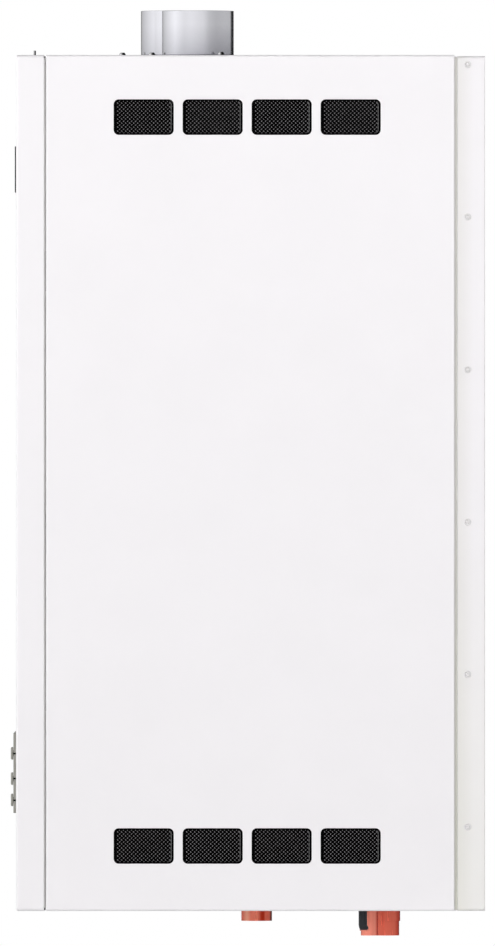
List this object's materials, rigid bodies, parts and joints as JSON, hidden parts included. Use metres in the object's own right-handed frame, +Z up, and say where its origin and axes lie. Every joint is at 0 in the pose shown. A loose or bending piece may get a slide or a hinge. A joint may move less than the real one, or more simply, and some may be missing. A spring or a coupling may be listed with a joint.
{
  "type": "gas boiler",
  "caption": "Wall-hung condensing boiler with a hinged front door, vented side panels, two flue collars and copper pipe tails.",
  "frame": {"origin": "middle of the casing's lower edge on the wall plane", "axes": "+Z up, +Y out of the back into the wall, -Y is the door side, +X to the right when facing the door"},
  "size_m": [0.48, 0.4759, 0.9333],
  "materials": {
    "white_enamel": "fine orange-peel powder coat, satin",
    "grille_black": "black lacquered wire mesh in a black frame",
    "rivet_white": "painted rivet heads",
    "gasket_foam": "soft grey foam strip",
    "zinc_steel": "bright zinc plate",
    "magnet_dark": "dark moulded magnet block",
    "badge_dark": "bare dark plate, satin",
    "fascia_grey": "grey moulded fascia, satin",
    "display_black": "dark tinted window, gloss",
    "button_grey": "grey moulded cap on a black stem",
    "housing_black": "black moulded, fine grain",
    "board_green": "lacquered circuit board",
    "flue_steel": "polished stainless tube with a fine drawn grain",
    "exhaust_grey": "grey moulded flue pipe",
    "sump_dark": "dark ribbed moulding",
    "drum_steel": "stainless sheet, brushed",
    "coil_steel": "stainless tube",
    "cast_aluminium": "die casting, fine grain",
    "burner_steel": "heat-tinted perforated steel",
    "nut_yellow": "yellow zinc plate",
    "electrode_white": "white glazed insulator with a steel rod",
    "rotor_black": "moulded impeller",
    "valve_grey": "grey cast body",
    "copper_red": "red copper tube, lightly oxidised",
    "pump_iron": "black lacquered casting",
    "motor_red": "dark red lacquer",
    "brass": "hot-stamped brass",
    "plate_steel": "brazed stainless plates",
    "actuator_black": "black moulded cap",
    "vessel_red": "red enamel, gloss",
    "hose_black": "black moulded drain spout",
    "knob_red": "red moulded knob",
    "gauge_dark": "dark case with a white dial",
    "needle_black": "black pointer",
    "galvanised": "galvanised channel"
  },
  "bodies": {
    "casing": {"rear_panel": "white_enamel", "side_panel_right": "white_enamel", "side_panel_left": "white_enamel", "top_panel": "white_enamel", "bottom_panel": "white_enamel", "vent_grilles_right": "grille_black", "vent_grilles_left": "grille_black", "flange_rivets": "rivet_white", "hinge_brackets": "zinc_steel", "hinge_pins": "zinc_steel", "collar_screws": "zinc_steel", "magnet_catches": "magnet_dark", "fan_motor": "housing_black", "air_silencer": "housing_black", "exhaust_collar": "flue_steel", "air_collar": "flue_steel", "exhaust_pipe": "exhaust_grey", "flue_sump": "sump_dark", "condensate_trap": "sump_dark", "exchanger_drum": "drum_steel", "exchanger_coil": "coil_steel", "burner_door": "cast_aluminium", "fan_housing": "cast_aluminium", "gas_air_mixer": "cast_aluminium", "burner_tube": "burner_steel", "burner_nuts": "nut_yellow", "ignition_electrode": "electrode_white", "gas_valve": "valve_grey", "gas_inlet_pipe": "copper_red", "gas_supply_pipe": "copper_red", "flow_pipe": "copper_red", "return_pipe": "copper_red", "hot_water_pipe": "copper_red", "cold_water_pipe": "copper_red", "exchanger_flow_pipe": "copper_red", "exchanger_return_pipe": "copper_red", "pump_housing": "pump_iron", "pump_motor": "motor_red", "flow_manifold": "brass", "relief_valve": "brass", "plate_exchanger": "plate_steel", "diverter_actuator": "actuator_black", "expansion_vessel": "vessel_red", "condensate_spout": "hose_black", "pressure_gauge": "gauge_dark", "support_frame": "galvanised"},
    "door": {"front_door": "white_enamel", "door_gasket": "gasket_foam", "badge_plate": "badge_dark", "control_fascia": "fascia_grey", "display_window": "display_black", "control_housing": "housing_black", "control_board": "board_green"},
    "top_button": {"button_top": "button_grey"},
    "middle_button": {"button_middle": "button_grey"},
    "bottom_button": {"button_bottom": "button_grey"},
    "fan_rotor": {"fan_impeller": "rotor_black"},
    "pump_rotor": {"pump_impeller": "rotor_black"},
    "relief_handwheel": {"relief_knob": "knob_red"},
    "gauge_pointer": {"gauge_needle": "needle_black"}
  },
  "joints": [
    {"name": "door_hinge", "type": "hinge", "parent": "casing", "child": "door", "pos_m": [-0.234, -0.4548, 0.428], "axis": [0, 0, -1], "range_deg": [0, 105]},
    {"name": "top_button_press", "type": "slide", "parent": "door", "child": "top_button", "axis": [0, 1, 0], "range_m": [0, 0.0012], "stiffness_N_per_m": 300},
    {"name": "middle_button_press", "type": "slide", "parent": "door", "child": "middle_button", "axis": [0, 1, 0], "range_m": [0, 0.0012], "stiffness_N_per_m": 300},
    {"name": "bottom_button_press", "type": "slide", "parent": "door", "child": "bottom_button", "axis": [0, 1, 0], "range_m": [0, 0.0012], "stiffness_N_per_m": 300},
    {"name": "fan_spin", "type": "hinge", "parent": "casing", "child": "fan_rotor", "pos_m": [-0.162, -0.39, 0.65], "axis": [0, 1, 0], "continuous": true},
    {"name": "pump_spin", "type": "hinge", "parent": "casing", "child": "pump_rotor", "pos_m": [0.09, -0.29, 0.15], "axis": [0, 1, 0], "continuous": true},
    {"name": "relief_turn", "type": "hinge", "parent": "casing", "child": "relief_handwheel", "pos_m": [-0.14, -0.176, 0.135], "axis": [0, -1, 0], "range_deg": [0, 90]},
    {"name": "gauge_sweep", "type": "hinge", "parent": "casing", "child": "gauge_pointer", "pos_m": [0, -0.346, 0.215], "axis": [0, 1, 0], "range_deg": [0, 270], "stiffness_Nm_per_rad": 0.0005}
  ]
}
